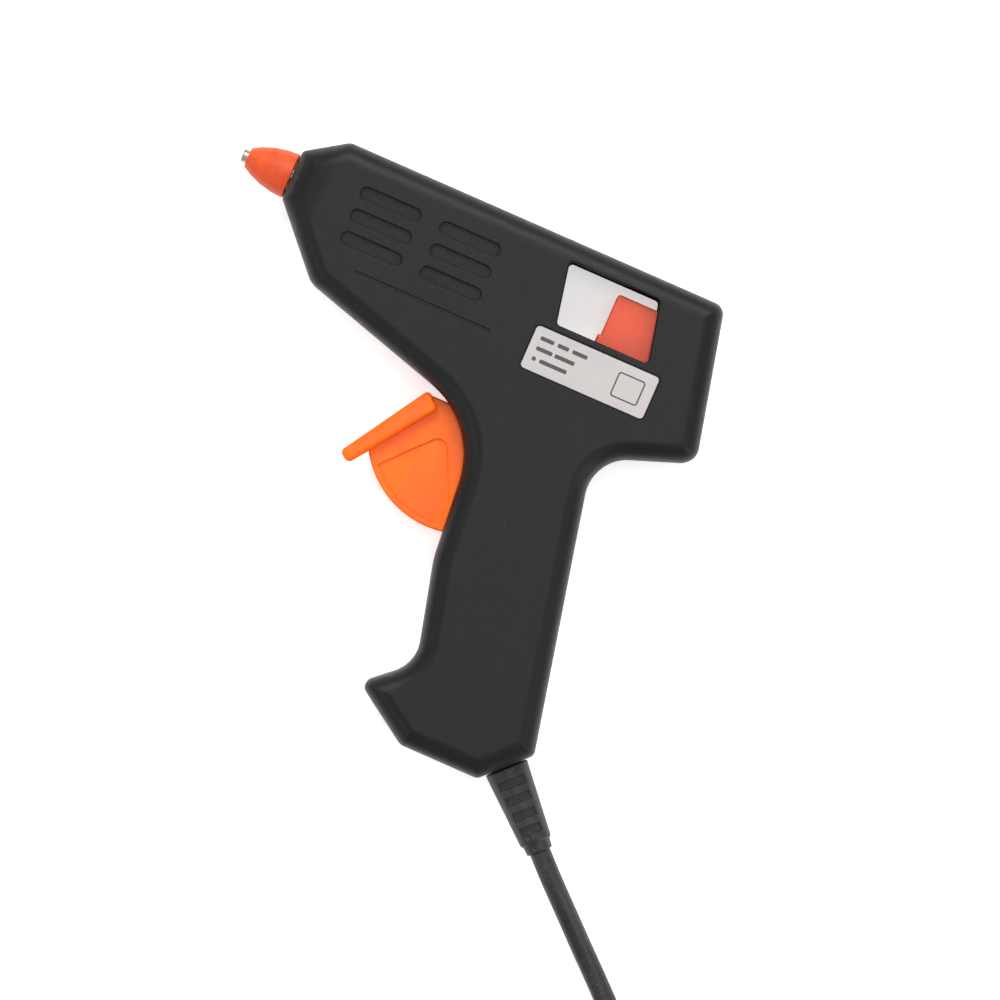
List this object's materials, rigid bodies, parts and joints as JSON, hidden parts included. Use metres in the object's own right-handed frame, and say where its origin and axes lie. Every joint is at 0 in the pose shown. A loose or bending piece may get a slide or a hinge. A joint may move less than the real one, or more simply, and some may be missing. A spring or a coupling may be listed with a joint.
{
  "type": "glue gun",
  "caption": "Small pistol-shaped hot-melt glue gun with a two-part shell, silicone-sheathed nozzle, sprung trigger, stick feed seen through a side window, and a mains cord with its plug.",
  "frame": {"origin": "on the flat outer face of the right housing half, on the centre line of the handle, level with the middle of the trigger", "axes": "+X from the nozzle to the rear of the barrel, along the glue stick; +Y up the gun from the butt of the handle to the top of the barrel; +Z out of the left side, through the thickness. The gun lies on its right side, on z = 0."},
  "size_m": [0.1906, 0.2412, 0.024],
  "materials": {
    "housing_black": "fine moulded texture, semi-matt black ABS",
    "label_silver": null,
    "trigger_orange": "smooth bright orange plastic",
    "carriage_orange": "orange-red plastic",
    "silicone_orange": "matt heat-proof silicone rubber",
    "screw_steel": "zinc-plated steel",
    "spring_steel": "bright spring wire and hardened jaw",
    "nozzle_brass": "nickel-plated brass, dulled by heat",
    "contact_brass": "plain brass strip",
    "chamber_cast": "as-cast aluminium",
    "ptc_ceramic": "dark grey PTC ceramic",
    "heater_film": "amber polyimide film sleeve",
    "cord_black": "soft black PVC",
    "lead_white": "white PVC insulation"
  },
  "bodies": {
    "housing": {"left_housing": "housing_black", "right_housing": "housing_black", "rating_label": "label_silver", "housing_screw_1": "screw_steel", "housing_screw_2": "screw_steel", "housing_screw_3": "screw_steel", "housing_screw_4": "screw_steel", "housing_screw_5": "screw_steel", "nozzle_cap": "silicone_orange", "nozzle": "nozzle_brass", "check_ball": "spring_steel", "check_spring": "spring_steel", "melt_chamber": "chamber_cast", "heater_insulation": "heater_film", "ptc_heater": "ptc_ceramic", "electrode_upper": "contact_brass", "electrode_lower": "contact_brass", "heater_clip": "spring_steel", "stick_collar": "silicone_orange", "trigger_pivot_pin": "screw_steel", "return_spring": "spring_steel", "strain_relief": "cord_black", "jacket_end": "cord_black", "cord_clamp": "housing_black", "clamp_screw_1": "screw_steel", "clamp_screw_2": "screw_steel", "lead_live": "cord_black", "lead_neutral": "lead_white", "cord": "cord_black", "cord_coil": "cord_black", "cord_tail": "cord_black", "plug_body": "cord_black", "plug_blade_1": "contact_brass", "plug_blade_2": "contact_brass"},
    "trigger": {"trigger": "trigger_orange"},
    "carriage": {"feed_carriage": "carriage_orange", "jaw_pin": "screw_steel"},
    "jaw": {"grip_jaw": "spring_steel", "drive_pin": "screw_steel"}
  },
  "joints": [
    {"name": "trigger_pull", "type": "hinge", "parent": "housing", "child": "trigger", "pos_m": [-0.013, 0.003, 0.012], "axis": [0, 0, 1], "range_deg": [0, 20], "stiffness_Nm_per_rad": 0.12, "springref_deg": -20.05, "deforming": ["return_spring"]},
    {"name": "carriage_feed", "type": "slide", "parent": "housing", "child": "carriage", "axis": [-1, 0, 0], "range_m": [0, 0.0094]},
    {"name": "jaw_bite", "type": "hinge", "parent": "carriage", "child": "jaw", "pos_m": [0.014, 0.0346, 0.012], "axis": [0, 0, 1], "range_deg": [-4.2, 0]}
  ],
  "couplings": [
    {"joint": "carriage_feed", "follows": "trigger_pull", "m_per_rad": 0.02649},
    {"joint": "jaw_bite", "follows": "trigger_pull", "ratio": -0.2}
  ]
}
